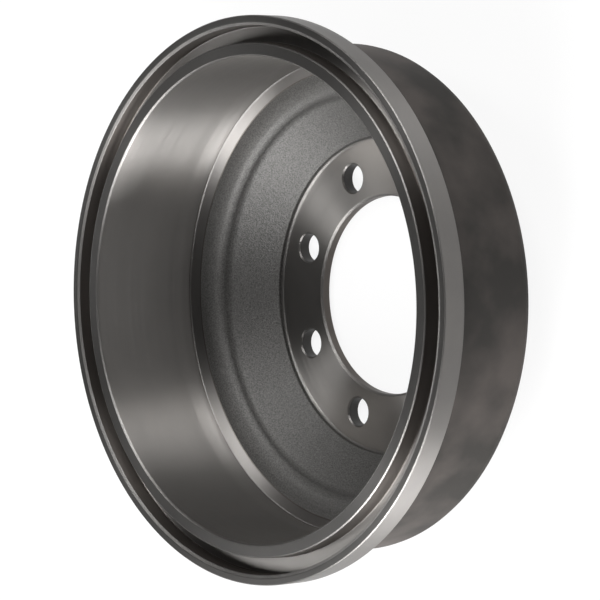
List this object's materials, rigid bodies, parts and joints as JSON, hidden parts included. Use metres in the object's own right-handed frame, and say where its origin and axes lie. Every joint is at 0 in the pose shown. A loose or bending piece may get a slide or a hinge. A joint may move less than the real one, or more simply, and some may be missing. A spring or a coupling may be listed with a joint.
{
  "type": "brake drum",
  "caption": "Cast iron brake drum, open on one side, with a smooth inner braking surface, a rim groove, a recessed mounting flange, bolt holes and a centre bore.",
  "frame": {"origin": "centre of the wheel face, on the drum's axis, where the drum rests", "axes": "+Z along the drum's axis towards its open end; +X through the centre of one bolt hole"},
  "size_m": [0.3559, 0.356, 0.128],
  "materials": {
    "iron": "turned bare on the working faces, sand cast between them"
  },
  "bodies": {
    "root": {"drum": "iron"}
  },
  "joints": []
}
